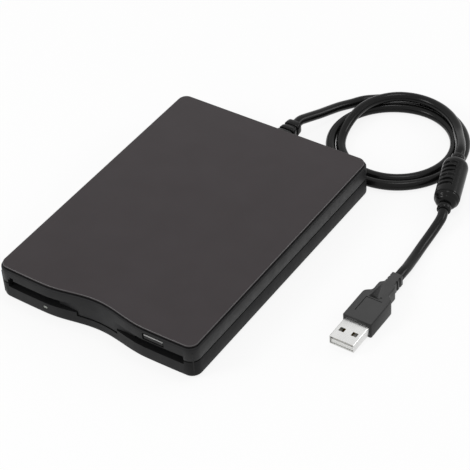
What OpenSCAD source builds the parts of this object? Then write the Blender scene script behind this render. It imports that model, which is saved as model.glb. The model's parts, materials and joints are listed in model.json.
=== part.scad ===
// External floppy disk drive: a slim moulded case with a trim plate on top, a spring-loaded
// dust door across the disk slot, an eject button, the drive mechanism inside, and a captive
// cord with a ferrite choke and a flat plug.
// Millimetres. +Z up, the front faces -Y, the origin is on the table under the case's middle.

/* [Case] */
// Width of the case across its front
body_w = 104; // [102:1:108]
// Depth of the case from front to back
body_d = 142; // [140:1:146]
// Height of the case, feet included
body_h = 18; // [18:0.5:19]
// Radius of the case's corners seen from above
corner_r = 5; // [4:0.5:7]
// Thickness of the case's side walls
wall = 1.8; // [1.4:0.1:2.2]
// Height of the seam between the two halves of the case
seam_z = 9.4; // [9:0.1:10]
// Thickness of the trim plate on top
plate_t = 1.4; // [1.2:0.1:1.5]
// How far the trim plate stands back from the walls
plate_inset = 0.9; // [0.6:0.1:1.5]

/* [Finger recess] */
// Depth of the recess at the top edge of the front
dip_top = 3.6; // [3:0.1:4]
// Depth of the recess at the bottom edge of the front
dip_bottom = 3.1; // [2.6:0.1:3.6]
// Half the width over which the front curves in
dip_reach = 27; // [24:1:30]

/* [Slot and dust door] */
// Width of the disk slot
slot_w = 93; // [92:0.5:93]
// Height of the slot's lower lip
slot_low = 7.4; // [7.2:0.1:7.5]
// Height of the slot's upper edge
slot_high = 11.8; // [11.7:0.1:12]
// Width of the notch in the middle of the lower lip
notch_w = 18; // [14:1:22]

/* [Eject button] */
// Place of the button's middle across the front
button_x = 31.5; // [27:0.5:34]
// Width of the button
button_w = 10; // [8:0.5:12]
// How far the button comes out when a disk is loaded
eject_travel = 4.5; // [3:0.5:4.5]

/* [Mechanism] */
// How far the disk holder drops when a disk is loaded
holder_drop = 1.8; // [1.2:0.1:1.8]
// Place of the spindle along the case
spindle_y = -19; // [-20:1:-18]
// Travel of the heads from the outer track to the inner one
head_travel = 14.8; // [12:0.1:14.8]
// Number of coils round the spindle motor
coil_count = 9; // [6:3:12]

/* [Cord] */
// Diameter of the cord
cord_d = 4.2; // [3.6:0.1:4.4]
// Number of sides of the cord's solid
cord_sides = 8; // [8:1:12]
// Diameter of the ferrite's moulded cover
ferrite_d = 12; // [11:0.5:12]
// Length of the ferrite's moulded cover with its collars
ferrite_len = 34; // [32:1:36]
// Width of the plug's moulded grip
grip_w = 14; // [13:0.5:16]
// Thickness of the plug's moulded grip
grip_t = 8; // [7.5:0.5:8]

/* [Hidden] */

eps = 0.01;
fine = 48;
half_w = body_w / 2;
half_d = body_d / 2;

// The case stands on its feet, and its floor, roof and inner height follow from the walls.
case_low = 0.4;
floor_z = 2;
shell_high = body_h - plate_t;
roof_z = shell_high - 1.4;
edge_r = 1.6;
crown = 0.5;
front_steps = 46;
corner_steps = 6;

black = "#2a2a2c";
plum = "#464244";
steel = "#b9bcc0";
board_green = "#1f5a3a";
chip_black = "#18181a";
copper = "#b06a35";
brass = "#c9a24a";

// ---------------------------------------------------------------- outlines and helpers

function ease(t) = let (c = max(0, min(1, t))) c * c * (3 - 2 * c);
function dip_at(z) = dip_bottom + (dip_top - dip_bottom) * z / body_h;

// The front's line seen from above: two shallow lobes and the finger recess between them.
function front_y(x, inset, dip) =
  let (a = abs(x))
  -half_d + inset + (a < dip_reach
    ? dip / 2 * (1 + cos(180 * a / dip_reach))
    : crown * pow((a - dip_reach) / (half_w - dip_reach), 2));

function arc(cx, cy, r, from) =
  [for (i = [1:corner_steps]) let (a = from + 90 * i / corner_steps) [cx + r * cos(a), cy + r * sin(a)]];

// The case's outline seen from above, drawn in by inset.
function outline(inset, dip) =
  let (
    r = corner_r - inset,
    cx = half_w - corner_r,
    cy = half_d - corner_r,
    fy = front_y(cx, 0, dip) + corner_r
  )
  concat(
    [for (i = [0:front_steps]) let (x = cx * (2 * i / front_steps - 1)) [x, front_y(x, inset, dip)]],
    arc(cx, fy, r, -90),
    [[cx + r, cy]],
    arc(cx, cy, r, 0),
    [[-cx, cy + r]],
    arc(-cx, cy, r, 90),
    [[-cx - r, fy]],
    [for (p = arc(-cx, fy, r, 180)) if (p[0] < -cx - eps) p]
  );

// A closed body through rings with equal numbers of points. Its ends are flat, or with ladder
// they are closed by strips from each point of a ring's first half to its mirror in the second.
module skin(rings, ladder = false) {
  n = len(rings[0]);
  last = (len(rings) - 1) * n;
  sides = [
    for (k = [0:len(rings) - 2]) for (i = [0:n - 1])
      let (a = k * n + i, b = k * n + (i + 1) % n)
      each [[a, a + n, b + n], [a, b + n, b]]
  ];
  strips = [for (i = [0:n / 2 - 2]) [i, i + 1, n - 2 - i, n - 1 - i]];
  start = ladder ? strips : [[for (i = [0:n - 1]) i]];
  finish = [for (f = start) [for (i = [len(f) - 1:-1:0]) last + f[i]]];
  polyhedron(
    points = [for (ring = rings) for (p = ring) p],
    faces = concat(start, sides, finish),
    convexity = 8
  );
}

// The case's outline at several heights, from layers of [height, inset].
module case_skin(layers) {
  skin([for (l = layers) [for (p = outline(l[1], dip_at(l[0]))) [p[0], p[1], l[0]]]]);
}

// A box given by its low and high corners.
module block(low, high) {
  translate(low) cube(high - low);
}

module mirror_x() {
  children();
  mirror([1, 0, 0]) children();
}

// A cylinder along X, between two places.
module rod_x(from, to, y, z, r) {
  translate([from, y, z]) rotate([0, 90, 0]) cylinder(h = to - from, r = r, $fn = fine);
}

// A cylinder along Y, between two places.
module rod_y(from, to, x, z, r) {
  translate([x, from, z]) rotate([-90, 0, 0]) cylinder(h = to - from, r = r, $fn = fine);
}

module post(x, y, from, to, r) {
  translate([x, y, from]) cylinder(h = to - from, r = r, $fn = fine);
}

// ---------------------------------------------------------------- case

door_y = -65.7;
door_z = 12.3;
door_low = 5.6;
door_t = 1.1;
door_pin_r = 0.6;
running = 0.05;
cheek_x = slot_w / 2;
shelf_back = -66.7;
notch_low = 5.3;
light_x = -26.5;
light_z = 4.7;
light_w = 2.4;
light_h = 1.4;
relief_x = 2.2;
relief_z = 9.1;
neck_w = 8.4;
neck_h = 7;
button_low = 12.4;
button_high = 14.6;
foot_r = 4.5;
foot_places = [[40, -56], [40, 54]];
front_boss = [48.7, -64.4, 11.2];
rear_boss = [45, 64.5, 13];
boss_places = [front_boss, rear_boss];
boss_r = 2;
screw_r = 0.9;
screw_head_r = 1.7;
screw_head_t = 1;

// The hollow behind the front wall: straight behind the recess, further forward beside it.
cavity_mid = [14, -66.6];
cavity_side = [27, -69.1];

module cavity(from, to) {
  r = corner_r - wall;
  cx = half_w - corner_r;
  cy = half_d - corner_r;
  fy = cavity_side[1] + r;
  translate([0, 0, from]) linear_extrude(to - from) polygon(concat(
    [[-cavity_side[0], cavity_side[1]], [-cavity_mid[0], cavity_mid[1]], cavity_mid, cavity_side],
    [[cx, fy - r]], arc(cx, fy, r, -90), [[cx + r, cy]], arc(cx, cy, r, 0),
    [[-cx, cy + r]], arc(-cx, cy, r, 90), [[-cx - r, fy]], arc(-cx, fy, r, 180)
  ));
}

module slot_cut() {
  block([-cheek_x, -half_d - 1, slot_low], [cheek_x, shelf_back + 0.1, slot_high]);
}

// A ledge behind the front wall that follows its recess.
module front_ledge(from, to) {
  reach = 48.5;
  line = [for (i = [-16:16]) let (x = reach * i / 16) [x, front_y(x, 0.5, dip_at(to))]];
  translate([0, 0, from]) linear_extrude(to - from)
    polygon(concat(line, [[reach, shelf_back], [-reach, shelf_back]]));
}

// Everything between two heights, wider than the case.
module slice(from, to) {
  block([-half_w - 1, -half_d - 1, from], [half_w + 1, half_d + 1, to]);
}

module relief_cut() {
  block(
    [relief_x - neck_w / 2 - 0.1, half_d - 3, relief_z - neck_h / 2 - 0.1],
    [relief_x + neck_w / 2 + 0.1, half_d + 1, relief_z + neck_h / 2 + 0.1]
  );
}

module capsule_y(from, to, x, z, w, h) {
  for (side = [-1, 1]) rod_y(from, to, x + side * (w - h) / 2, z, h / 2);
  block([x - (w - h) / 2, from, z - h / 2], [x + (w - h) / 2, to, z + h / 2]);
}

module lower_shell() {
  color(black) difference() {
    union() {
      difference() {
        case_skin([
          [case_low - 0.5, edge_r + 0.8], [case_low, edge_r], [case_low + 0.12, 1],
          [case_low + 0.4, 0.5], [case_low + 0.9, 0.15], [case_low + edge_r, 0],
          [seam_z - 0.35, 0], [seam_z, 0.35], [seam_z + 0.5, 0.85]
        ]);
        cavity(floor_z, seam_z + 1);
      }
      front_ledge(5, slot_low + 0.2);
      mirror_x() {
        block([cheek_x, -69.5, floor_z - eps], [50.6, -63, seam_z + 0.2]);
        for (b = boss_places) post(b[0], b[1], floor_z - eps, seam_z - 0.1, boss_r);
        for (y = [-50, 0, 52]) block([38, y - 1.5, floor_z - eps], [46, y + 1.5, 2.4]);
        block([28, 58.5, floor_z - eps], [29.2, 68, 5]);
      }
      for (y = [60, 66]) block([-29, y, floor_z - eps], [29, y + 1, 5]);
    }
    slice(case_low - 1, case_low);
    slice(seam_z, seam_z + 1);
    slot_cut();
    block([-notch_w / 2, -half_d - 1, notch_low], [notch_w / 2, shelf_back + 1, slot_high]);
    relief_cut();
    capsule_y(-half_d - 1, -66, light_x, light_z, light_w + 0.1, light_h + 0.1);
    mirror_x() {
      for (b = boss_places) {
        post(b[0], b[1], 0, seam_z + 0.5, screw_r + 0.1);
        post(b[0], b[1], 0, case_low + screw_head_t, screw_head_r + 0.15);
      }
      for (f = foot_places) post(f[0], f[1], 0, case_low + 0.5, foot_r + 0.05);
    }
  }
}

module upper_shell() {
  color(black) difference() {
    union() {
      difference() {
        case_skin([
          [seam_z - 0.5, 0.85], [seam_z, 0.35], [seam_z + 0.35, 0], [shell_high - 0.7, 0],
          [shell_high - 0.3, 0.12], [shell_high - 0.08, 0.35], [shell_high, 0.7],
          [shell_high + 0.5, 1.4]
        ]);
        cavity(seam_z - 1, roof_z);
      }
      front_ledge(slot_high - 0.2, 12.8);
      mirror_x() {
        block([cheek_x, -69.5, seam_z - 0.2], [50.6, -63, 14.2]);
        block([cheek_x, -69.5, 14], [50.6, -67, roof_z + eps]);
        post(rear_boss[0], rear_boss[1], seam_z + 0.1, roof_z + eps, boss_r);
      }
      for (x = [-30, -10, 10, 30]) block([x - 0.5, -50, roof_z - 0.25], [x + 0.5, 60, roof_z + eps]);
    }
    slice(seam_z - 1, seam_z);
    slice(shell_high, shell_high + 1);
    slot_cut();
    relief_cut();
    block([-45.3, -half_d - 1, slot_high - 1], [-43.3, -68, 13.2]);
    block(
      [button_x - button_w / 2 - 0.4, -half_d - 1, button_low - 0.3],
      [button_x + button_w / 2 + 0.4, -65.9, button_high + 0.4]
    );
    block(
      [button_x - button_w / 2 - 0.4, -half_d - 1, button_low - 0.3],
      [button_x + button_w / 2 + 0.4, -69.4, 15.7]
    );
    mirror_x() {
      rod_x(cheek_x - 1, 48.6, door_y, door_z, door_pin_r + running);
      for (b = boss_places) post(b[0], b[1], seam_z - 1, b[2] + 0.2, screw_r + 0.05);
    }
  }
}

module top_plate() {
  lip = plate_inset + 0.7;
  color(plum) difference() {
    case_skin([
      [shell_high - 0.5, lip], [shell_high + 0.35, lip], [shell_high + 0.45, plate_inset + 0.1],
      [shell_high + 0.6, plate_inset], [body_h - 0.3, plate_inset],
      [body_h - 0.08, plate_inset + 0.1], [body_h, plate_inset + 0.35],
      [body_h + 0.5, plate_inset + 1.2]
    ]);
    slice(shell_high - 1, shell_high);
    slice(body_h, body_h + 1);
  }
}

module power_light() {
  color("#d8dcd6") capsule_y(-half_d, -67.6, light_x, light_z, light_w, light_h);
}

module rubber_feet() {
  color(chip_black) mirror_x() for (f = foot_places)
    translate([f[0], f[1], 0]) rotate_extrude($fn = fine)
      polygon([[0, 0], [foot_r - 0.3, 0], [foot_r, 0.3], [foot_r, 0.9], [0, 0.9]]);
}

module case_screws() {
  color(steel) mirror_x() for (b = boss_places) {
    difference() {
      post(b[0], b[1], case_low + 0.1, case_low + screw_head_t, screw_head_r);
      translate([b[0], b[1], case_low]) for (turn = [0, 90])
        rotate(turn) cube([2.2, 0.5, 0.9], center = true);
    }
    post(b[0], b[1], case_low + screw_head_t - eps, b[2], screw_r);
  }
}

// A rectangle with rounded corners, standing across Y.
module relief_slab(y, w, h, t) {
  r = 1.6;
  translate([relief_x, y + t, relief_z]) rotate([90, 0, 0]) linear_extrude(t)
    hull() for (i = [-1, 1], j = [-1, 1])
      translate([i * (w / 2 - r), j * (h / 2 - r)]) circle(r, $fn = 20);
}

relief_end = 85.4;

module strain_relief() {
  color(chip_black) {
    block(
      [relief_x - 6.5, 67.6, relief_z - 4.6],
      [relief_x + 6.5, half_d - wall - 0.05, relief_z + 4.6]
    );
    block(
      [relief_x - neck_w / 2, half_d - wall - 0.06, relief_z - neck_h / 2],
      [relief_x + neck_w / 2, half_d + 0.3, relief_z + neck_h / 2]
    );
    hull() {
      relief_slab(half_d + 0.05, 9.8, 8.2, 1);
      relief_slab(75.7, 8.8, 7.6, 0.8);
    }
    hull() {
      relief_slab(77.7, 8.4, 7.3, 0.6);
      relief_slab(79.6, 8.1, 7.1, 0.6);
    }
    relief_slab(76.4, 6.8, 5.8, 1.4);
    relief_slab(80.1, 6.6, 5.7, 1.8);
    hull() {
      relief_slab(81.8, 7.8, 6.8, 0.6);
      relief_slab(relief_end - 1, 7.4, 6.5, 1);
    }
  }
}

// ---------------------------------------------------------------- dust door and eject gear

door_half = slot_w / 2 - 0.3;
pad_t = 0.95;
pad_high = 11.6;

// A raised panel on the door's face, which fills the slot and the notch.
module door_pad(half, low) {
  block([-half, door_y - door_t / 2 - pad_t, low], [half, door_y - door_t / 2 + 0.1, pad_high]);
}

module dust_door() {
  color(black) {
    door_pad(door_half - 0.3, slot_low + 0.4);
    door_pad(notch_w / 2 - 0.4, notch_low + 0.6);
    block([-door_half, door_y - door_t / 2, door_low], [door_half, door_y + door_t / 2, door_z]);
    block([-door_half, door_y - 0.2, door_low], [door_half, door_y + door_t / 2 + 0.35, door_low + 0.9]);
    rod_x(-door_half, door_half, door_y, door_z, 0.7);
    mirror_x() rod_x(door_half - 1, 48.2, door_y, door_z, door_pin_r);
  }
}

button_front = front_y(button_x, 0.25, dip_top);
stem_low = 13.35;
stem_high = 14.05;

module eject_button() {
  side = button_w / 2;
  color(black) {
    translate([button_x - side, 0, 0]) rotate([90, 0, 90]) linear_extrude(button_w)
      polygon([
        [button_front + 0.25, button_low], [button_front, button_low + 0.35],
        [button_front, button_high - 0.45], [button_front + 0.45, button_high],
        [-67, button_high], [-67, button_low]
      ]);
    block([button_x - 3, -67.01, stem_low - 0.3], [button_x + 3, -66.2, stem_high + 0.3]);
  }
}

rail_in = 47.1;
rail_out = 47.7;
pin_r = 0.75;
pin_z = 9.3;
pin_places = [-45, 10];

// The slanted slot that a holder pin runs down as the slider comes forward.
module ramp(y) {
  gap_r = pin_r + 0.32;
  slope = atan2(holder_drop, eject_travel);
  reach = sqrt(pow(holder_drop, 2) + pow(eject_travel, 2));
  rod_x(rail_in - 1, rail_out + 1, y, pin_z, gap_r);
  rod_x(rail_in - 1, rail_out + 1, y + eject_travel, pin_z - holder_drop, gap_r);
  translate([rail_in - 1, y, pin_z]) rotate([-slope, 0, 0])
    translate([0, 0, -gap_r]) cube([rail_out - rail_in + 2, reach, 2 * gap_r]);
}

module eject_slider() {
  color(steel) {
    mirror_x() difference() {
      block([rail_in, -57, 3.6], [rail_out, 20, 12]);
      for (y = pin_places) ramp(y);
      for (y = [-34, -18, -2]) block([rail_in - 1, y, 6], [rail_out + 1, y + 8, 10.4]);
    }
    block([-rail_out, -56, 3.6], [rail_out, -48, 4.3]);
    block([rail_in, -57, 11], [rail_out, -53, stem_high]);
    block([button_x - 2.5, -57, stem_low], [rail_out, -53, stem_high]);
    block([button_x - 2.5, -66.2, stem_low], [button_x + 2.5, -56.9, stem_high]);
  }
}

holder_front = -57.5;
holder_rear = 27.5;
holder_top = 12.3;
sheet_t = 0.5;
holder_x = 46.6;
window_x = 8;

module disk_holder() {
  color(steel) {
    difference() {
      block([-holder_x, holder_front, holder_top - sheet_t], [holder_x, holder_rear, holder_top]);
      block([-window_x, 0, holder_top - 2], [window_x, holder_rear + 1, holder_top + 1]);
      post(0, spindle_y, holder_top - 2, holder_top + 1, 13);
      for (x = [-30, 30]) block([x - 7, -48, holder_top - 2], [x + 7, -40, holder_top + 1]);
    }
    mirror_x() {
      block([holder_x - sheet_t, holder_front, 6.6], [holder_x, holder_rear, holder_top]);
      block([44.6, holder_front, 6.6], [holder_x, holder_rear, 6.6 + sheet_t]);
    }
  }
}

module holder_pins() {
  color(steel) mirror_x() for (y = pin_places) rod_x(holder_x, 47.95, y, pin_z, pin_r);
}

// ---------------------------------------------------------------- frame of the mechanism

chassis_x = 48.9;
chassis_front = -56;
chassis_rear = 58;
chassis_low = 2.4;
deck_z = 3.2;
cover_low = 14.4;
cover_t = 0.4;
bearing_r = 4.5;
board_fix = [[-27, -37], [27, -37], [-27, -3], [27, -3]];

module chassis() {
  color(steel) difference() {
    union() {
      block([-chassis_x, chassis_front, chassis_low], [chassis_x, chassis_rear, deck_z]);
      mirror_x() block([chassis_x - 0.6, chassis_front, chassis_low], [chassis_x, chassis_rear, cover_low]);
      block([-chassis_x, chassis_rear - 0.6, chassis_low], [-24, chassis_rear, 8]);
      block([24, chassis_rear - 0.6, chassis_low], [chassis_x, chassis_rear, 8]);
    }
    post(0, spindle_y, 0, deck_z + 1, bearing_r + 0.05);
    for (b = board_fix) post(b[0], b[1], 0, deck_z + 1, 0.85);
    block([-14, 6, 0], [10, 27, deck_z + 1]);
    for (x = [-40, 26]) block([x, -12, 0], [x + 14, 14, deck_z + 1]);
    for (y = [-46, -14, 20]) block([-chassis_x - 1, y, 6], [chassis_x + 1, y + 16, 11]);
  }
}

module drive_cover() {
  color(steel) difference() {
    block([-chassis_x, -52, cover_low], [chassis_x, chassis_rear, cover_low + cover_t]);
    block([-20, -40, cover_low - 1], [20, -6, cover_low + 2]);
    for (x = [-38, 28]) block([x, 8, cover_low - 1], [x + 10, 40, cover_low + 2]);
  }
}

module spindle_board() {
  color(board_green) difference() {
    block([-31, -41, deck_z], [31, 0, 4]);
    post(0, spindle_y, 0, 6, bearing_r + 0.05);
    for (b = board_fix) post(b[0], b[1], 0, 6, 0.85);
  }
}

module chassis_screws() {
  color(steel) for (b = board_fix) {
    post(b[0], b[1], 4, 4.7, 1.6);
    post(b[0], b[1], 2.5, 4.01, 0.8);
  }
}

shaft_r = 1.5;

module spindle_bearing() {
  color(brass) difference() {
    union() {
      post(0, spindle_y, 2.3, 5.6, bearing_r - 0.6);
      post(0, spindle_y, 2.3, 4.4, bearing_r);
    }
    post(0, spindle_y, 2, 6, shaft_r + running);
  }
}

module stator_coils() {
  color(copper) {
    difference() {
      post(0, spindle_y, 4.2, 5.2, 6.4);
      post(0, spindle_y, 4, 6, bearing_r + 0.05);
    }
    for (i = [0:coil_count - 1]) translate([0, spindle_y, 0]) rotate(i * 360 / coil_count) {
      block([6.2, -0.8, 4.3], [15.5, 0.8, 5.1]);
      block([8, -1.9, 4.1], [13, 1.9, 5.4]);
      block([15, -3.6, 4.2], [16.6, 3.6, 5.2]);
    }
  }
}

module spindle_rotor() {
  color(steel) translate([0, spindle_y, 0]) rotate_extrude($fn = 96)
    polygon([
      [0, 2.6], [shaft_r, 2.6], [shaft_r, 6], [18.6, 6], [18.6, 4.4], [20, 4.4], [20, 6.3],
      [19.7, 6.6], [0, 6.6]
    ]);
}

module spindle_hub() {
  color("#d6d8da") {
    translate([0, spindle_y, 0]) rotate_extrude($fn = fine)
      polygon([
        [0, 6.6], [12.5, 6.6], [12.5, 6.9], [11.5, 7], [4, 7], [3.5, 7.1], [1.6, 7.1], [1.6, 7.3],
        [0, 7.3]
      ]);
    post(7.5, spindle_y + 3, 6.9, 7.3, 1.4);
  }
}

// ---------------------------------------------------------------- heads and their drive

bush_y = 20;
rod_front = bush_y - head_travel - 4.2;
rod_x_place = 14;
rod_z = 5.6;
rod_r = 1.5;
follower_y = 46;
screw_x = -16;
screw_z = 8;
arm_pivot_y = 47;
arm_pivot_z = 13.4;
head_y = 20.5;
bush_r = rod_r + 0.06;

module head_carriage() {
  color("#c8cacc") difference() {
    union() {
      block([-6, 17, 4.3], [6, 24, 6]);
      block([-9, 23, 4.3], [12, 50, 6]);
      for (y = [bush_y, 44.6]) block([11, y, 3.8], [16.8, y + 4.4, 7.3]);
      block([9, bush_y, 4.3], [12, 49, 6]);
      block([-17.4, 44.6, 4.3], [-8, 47.6, 6]);
      rod_x(screw_x - 1, screw_x + 1, follower_y, 5.6, 0.7);
      block([-7.4, 44.6, 5.9], [7.4, 49.6, 12.4]);
      mirror_x() block([5.4, 44.6, 12.3], [7.4, 49.6, 14.1]);
    }
    rod_y(10, 60, rod_x_place, rod_z, bush_r);
    rod_x(-10, 10, arm_pivot_y, arm_pivot_z, door_pin_r + running);
    block([-4, 28, 4], [4, 42, 7]);
  }
}

module lower_head() {
  color("#5a4a3c") {
    block([-2.5, head_y - 2, 6], [2.5, head_y + 2, 6.7]);
    block([-1.6, head_y - 1.4, 6.69], [1.6, head_y + 1.4, 7.1]);
  }
}

module upper_arm() {
  color("#c8cacc") {
    translate([-5, 0, 0]) rotate([90, 0, 90]) linear_extrude(10)
      polygon([[17.2, 12.8], [17.2, 13.5], [22, 13.9], [47.6, 14], [48.2, 13.4], [48, 12.8]]);
    mirror_x() rod_x(4.9, 7.3, arm_pivot_y, arm_pivot_z, door_pin_r);
  }
}

module upper_head() {
  color("#5a4a3c") {
    block([-2.5, head_y - 2, 12.3], [2.5, head_y + 2, 12.8]);
    block([-1.6, head_y - 1.4, 11.9], [1.6, head_y + 1.4, 12.31]);
  }
}

module guide_rod() {
  color("#e0e2e4") rod_y(rod_front, 57, rod_x_place, rod_z, rod_r);
}

module rod_clamps() {
  color(steel) for (y = [rod_front, 54.4]) difference() {
    block([11.2, y, deck_z], [16.8, y + 2.4, 7.3]);
    rod_y(0, 60, rod_x_place, rod_z, rod_r + 0.02);
  }
}

screw_front = follower_y - head_travel - 3.3;
screw_back = 49.2;

module screw_bracket() {
  color(steel) difference() {
    union() {
      block([-20.5, screw_front, deck_z], [-11.5, screw_back + 0.6, deck_z + 0.6]);
      block([-20.5, screw_front, deck_z], [-11.5, screw_front + 0.6, 9.2]);
      block([-21, screw_back, deck_z], [-11, screw_back + 0.6, 12.6]);
    }
    rod_y(screw_front - 1, screw_back + 2, screw_x, screw_z, 0.8 + running);
  }
}

module lead_screw() {
  color("#d0d2d4") {
    rod_y(screw_front - 0.2, 53, screw_x, screw_z, 0.8);
    rod_y(screw_front + 1, screw_back - 0.4, screw_x, screw_z, 1.3);
  }
}

module stepper_motor() {
  color("#9da0a4") difference() {
    union() {
      rod_y(screw_back + 0.6, 57, screw_x, screw_z + 0.2, 4.6);
      block([-18, 52, deck_z], [-14, 56.6, 4.5]);
    }
    rod_y(40, 53.4, screw_x, screw_z, 0.8 + running);
  }
}

// ---------------------------------------------------------------- boards and small parts

module controller_board() {
  color(board_green) block([-46, 30, deck_z], [-23, 57, 4.2]);
}

module controller_chips() {
  color(chip_black) {
    block([-42, 34, 4.2], [-31, 45, 5.4]);
    block([-43, 48, 4.2], [-36, 53, 5.2]);
    for (i = [0:3]) block([-28, 33 + 4 * i, 4.2], [-26, 35 + 4 * i, 4.8]);
  }
}

module interface_board() {
  color(board_green) block([-28, 60, 5], [27, 67, 6.2]);
}

module interface_chip() {
  color(chip_black) {
    block([-16, 60.8, 6.2], [-10, 66.2, 7.4]);
    block([10, 61.5, 6.2], [17, 65.5, 9]);
  }
}

module ribbon_cable() {
  color("#d9d3c4") translate([-30, 0, 0]) rotate([90, 0, -90]) linear_extrude(5)
    polygon([
      [-49, 4.2], [-49, 4.6], [-56, 8.7], [-59, 8.7], [-63, 6.6], [-63, 6.2], [-59, 8.3], [-56, 8.3],
      [-50, 4.2]
    ]);
}

module track_sensor() {
  color(chip_black) difference() {
    block([20, 44, deck_z], [25, 51, 8.4]);
    block([19, 46.5, 5], [26, 48.5, 9]);
  }
}

module disk_switches() {
  color(chip_black) for (x = [-38, 32]) {
    block([x, 19, deck_z], [x + 6, 24, 6.2]);
    post(x + 3, 21.5, 6.19, 7.1, 0.8);
  }
}

// ---------------------------------------------------------------- cord

up = [0, 0, 1];
function unit(v) = v / norm(v);

ferrite_mid = [85.8, 85.5, 7.8];
ferrite_heading = -73;
ferrite_tilt = 8.2;
ferrite_dir = [
  cos(ferrite_heading) * cos(ferrite_tilt), sin(ferrite_heading) * cos(ferrite_tilt),
  -sin(ferrite_tilt)
];
ferrite_in = ferrite_mid - ferrite_dir * ferrite_len / 2;
ferrite_out = ferrite_mid + ferrite_dir * ferrite_len / 2;
plug_x = 94.5;
plug_z = 4.1;
plug_end = 22;

// The coil: its middle, then rows of [turned angle, radius], and the climb onto the first turn.
coil_mid = [46.6, 105.2];
coil_start = 135;
coil_step = 15;
coil_turned = 810;
coil_rows = [
  [0, 36.2], [75, 31.9], [285, 31.6], [390, 27.1], [640, 26.8], [675, 26.3], [740, 30.6],
  [810, 28.6], [840, 29]
];
climb_from = 640;
climb_over = 65;
floor_lay = cord_d / 2;
top_lay = floor_lay + cord_d + 0.55;

function radius_at(a, i = 0) =
  a > coil_rows[i + 1][0] && i < len(coil_rows) - 2
    ? radius_at(a, i + 1)
    : let (p = coil_rows[i], q = coil_rows[i + 1]) p[1] + (q[1] - p[1]) * ease((a - p[0]) / (q[0] - p[0]));

function coil_point(a) =
  let (r = radius_at(a), h = coil_start - a)
  [
    coil_mid[0] + r * cos(h), coil_mid[1] + r * sin(h),
    floor_lay + (top_lay - floor_lay) * ease((a - climb_from) / climb_over)
  ];

// From the strain relief down to the table.
entry_points = [
  [2.2, 85.4, 9.1], [2.2, 89.6, 9.1], [3, 93.5, 8.7], [4.2, 98, 7.7], [5.5, 103, 6.4],
  [7.2, 108.8, 4.9], [9.4, 114.5, 3.6], [12.3, 120.5, 2.5], [16, 126, 2.1]
];
// From the coil up to the ferrite, which props it.
exit_points = [[70.6, 120.6, 7.3], [73.6, 116.2, 8.3], [76.6, 111.5, 9.6]];
loop_route = concat(
  entry_points,
  [for (a = [0:coil_step:coil_turned]) coil_point(a)],
  exit_points,
  [ferrite_in - ferrite_dir * cord_d, ferrite_in]
);
// From the ferrite along the table to the plug.
tail_route = concat(
  [ferrite_out, ferrite_out + ferrite_dir * cord_d],
  [
    [92.1, 60.2, 3.6], [92.2, 54, 2.7], [92.5, 47, 2.2], [93.1, 40, 2.4], [93.8, 33.8, 3],
    [94.3, 29.8, 3.6]
  ],
  [[plug_x, plug_end + cord_d, plug_z], [plug_x, plug_end, plug_z]]
);

function route_dir(route, i) =
  let (n = len(route) - 1)
  unit(i == 0 ? route[1] - route[0] : i == n ? route[n] - route[n - 1] : route[i + 1] - route[i - 1]);

// One closed tube through a route, a ring of points at each.
module tube(route, d, sides) {
  rings = [
    for (i = [0:len(route) - 1])
      let (t = route_dir(route, i), s = unit(cross(up, t)), u = cross(t, s))
      [for (k = [0:sides - 1]) route[i] + d / 2 * (s * cos(360 * k / sides) + u * sin(360 * k / sides))]
  ];
  skin(rings);
}

function route_length(route, i = 0) =
  i >= len(route) - 1 ? 0 : norm(route[i + 1] - route[i]) + route_length(route, i + 1);

// The least gap between two stretches of one cord that lie more than a quarter turn apart.
least_gap = min([
  for (i = [0:len(loop_route) - 1]) for (j = [i + 6:1:len(loop_route) - 1])
    norm(loop_route[i] - loop_route[j])
]) - cord_d;
echo(least_gap = least_gap);
echo(cord_length = route_length(loop_route) + ferrite_len + route_length(tail_route));

module cord_loop() {
  color(chip_black) tube(loop_route, cord_d, cord_sides);
}

module cord_tail() {
  color(chip_black) tube(tail_route, cord_d, cord_sides);
}

// Puts +Z along the ferrite's axis, from the drive's side to the plug's.
module along_ferrite() {
  translate(ferrite_mid) rotate([0, 0, ferrite_heading]) rotate([0, 90 + ferrite_tilt, 0]) children();
}

core_len = 20;
groove_turn = 21;

module ferrite_cover() {
  r = ferrite_d / 2;
  half = ferrite_len / 2;
  color(chip_black) along_ferrite() difference() {
    rotate_extrude($fn = 40) polygon([
      [0, -half], [2.9, -half], [3.2, -half + 0.4], [3.2, -half + 2.6], [2.7, -half + 2.9],
      [2.7, -half + 3.6], [r - 2, -half + 4], [r - 0.6, -half + 4.8], [r, -half + 6.4],
      [r, half - 8], [r - 0.5, half - 7.8], [r - 0.5, half - 7.1], [r, half - 6.9],
      [r - 0.3, half - 5.4], [r - 1.4, half - 4.4], [r - 2.4, half - 4.2], [r - 2.4, half - 3.6],
      [2.7, half - 3.3], [2.7, half - 2.9], [3.2, half - 2.6], [3.2, half - 0.4], [2.9, half],
      [0, half]
    ]);
    rotate(groove_turn) for (i = [0:5]) translate([-r - 0.1, 0, -8 + 2.6 * i])
      cube([1.8, 8.6, 1.3], center = true);
    cylinder(h = core_len + 0.2, r = 4.6, center = true, $fn = fine);
  }
}

module ferrite_core() {
  color("#3a3a3c") along_ferrite() difference() {
    cylinder(h = core_len, r = 4.5, center = true, $fn = fine);
    cylinder(h = core_len + 1, r = 2.4, center = true, $fn = fine);
  }
}

// ---------------------------------------------------------------- plug

grip_front = -12.6;
shell_w = 12;
shell_t = 4.5;
shell_tip = -25;
shell_wall = 0.35;

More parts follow.
